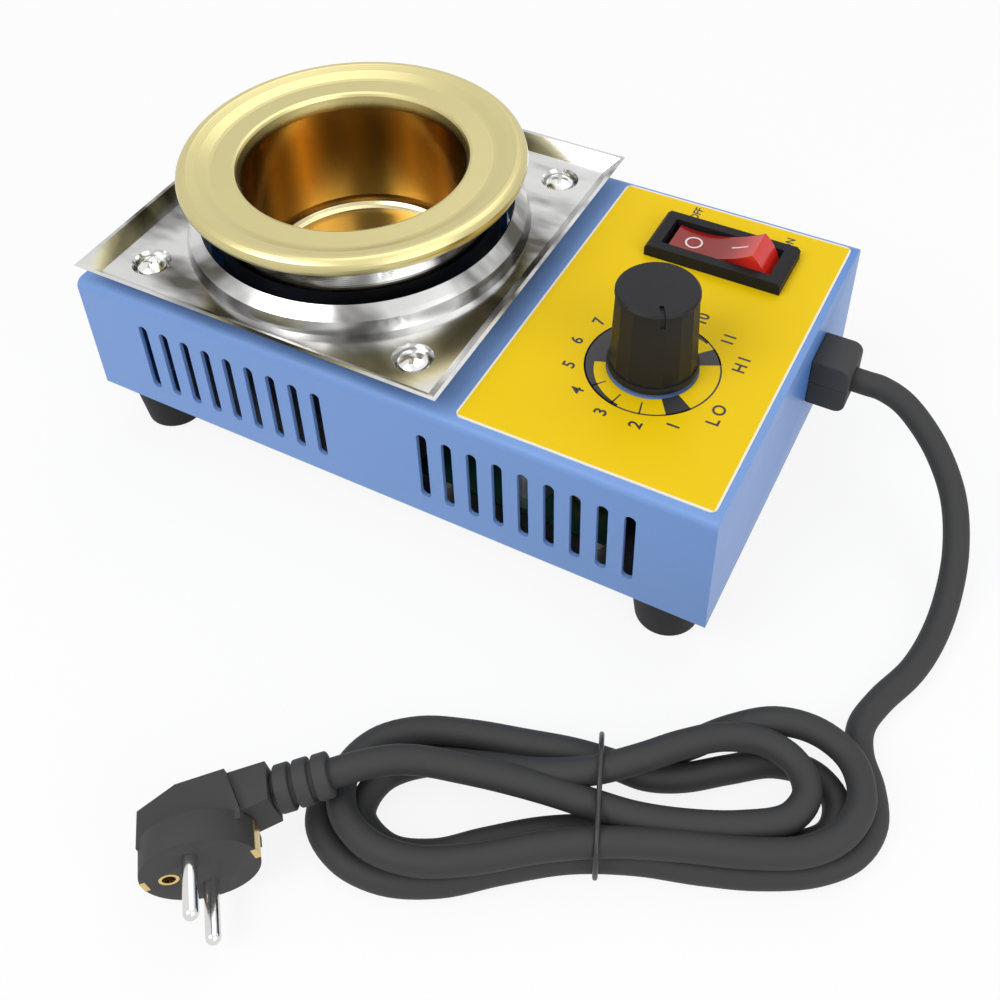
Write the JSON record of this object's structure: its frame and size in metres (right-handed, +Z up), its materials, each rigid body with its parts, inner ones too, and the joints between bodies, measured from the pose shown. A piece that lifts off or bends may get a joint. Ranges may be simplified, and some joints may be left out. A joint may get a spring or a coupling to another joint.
{
  "type": "solder pot",
  "caption": "Small bench solder pot: blue vented housing, gold crucible over a bright drip tray, dial regulator, rocker switch and a bundled mains lead with an angled plug.",
  "frame": {"origin": "on the floor under the middle of the object without its lead", "axes": "+X along the housing from the crucible to the controls, +Y to the back, +Z up"},
  "size_m": [0.1951, 0.1822, 0.0661],
  "materials": {
    "blue_paint": "smooth satin blue paint on folded steel sheet",
    "zinc_steel": "bright zinc-plated steel",
    "stainless": "polished stainless sheet with soft reflections",
    "gold_pot": "pale gold satin coating, darker orange gold inside the bore",
    "polished_skirt": "polished bright sheet",
    "dark_steel": "heat-darkened steel",
    "insulation": "off-white mineral fibre",
    "foot_rubber": "black rubber with a soft sheen",
    "yellow_label": "yellow printed sheet with dark print",
    "black_plastic": "black moulded plastic",
    "red_rocker": "clear red moulded plastic",
    "contact_brass": "bare brass",
    "board_green": "green laminate",
    "white_plastic": "off-white moulded plastic",
    "can_grey": "grey sleeve on an aluminium can",
    "film_brown": "brown dipped coating",
    "copper_wire": "enamelled copper wire",
    "lead_brown": "brown insulation",
    "cord_black": "black flexible sheath with a soft sheen",
    "plug_black": "fine-grained black moulding",
    "nickel": "nickel-plated pins"
  },
  "bodies": {
    "base": {"housing": "blue_paint", "base_plate": "zinc_steel", "feet": "foot_rubber", "foot_screws": "zinc_steel", "drip_tray": "stainless", "tray_screws": "stainless", "tray_nuts": "zinc_steel", "crucible": "gold_pot", "furnace_skirt": "polished_skirt", "furnace_can": "dark_steel", "insulation_wall": "insulation", "insulation_disc": "insulation", "heater_band": "dark_steel", "can_posts": "zinc_steel", "post_screws": "zinc_steel", "panel_label": "yellow_label", "regulator": "can_grey", "regulator_nut": "zinc_steel", "regulator_washer": "zinc_steel", "switch_body": "black_plastic", "switch_blades": "contact_brass", "control_board": "board_green", "board_standoffs": "white_plastic", "heat_sink": "can_grey", "power_switch": "black_plastic", "film_capacitor": "film_brown", "round_capacitor": "can_grey", "choke": "copper_wire", "terminal_block": "white_plastic", "inner_leads": "lead_brown", "relief_upper": "black_plastic", "relief_lower": "black_plastic", "cord_stub": "cord_black", "mains_cord": "cord_black", "cord_hank": "cord_black", "cord_tie": "black_plastic", "plug_cord": "cord_black", "plug_body": "plug_black", "plug_sleeve": "plug_black", "plug_pins": "nickel", "earth_clips": "contact_brass", "earth_socket": "contact_brass"},
    "dial": {"knob": "black_plastic", "spindle": "zinc_steel"},
    "rocker": {"rocker": "red_rocker"}
  },
  "joints": [
    {"name": "dial_turn", "type": "hinge", "parent": "base", "child": "dial", "pos_m": [0.04505, -0.0122, 0.0445], "axis": [0, 0, 1], "range_deg": [-267, 27]},
    {"name": "rocker_tilt", "type": "hinge", "parent": "base", "child": "rocker", "pos_m": [0.04505, 0.0267, 0.042], "axis": [0, 1, 0], "range_deg": [0, 26]}
  ]
}
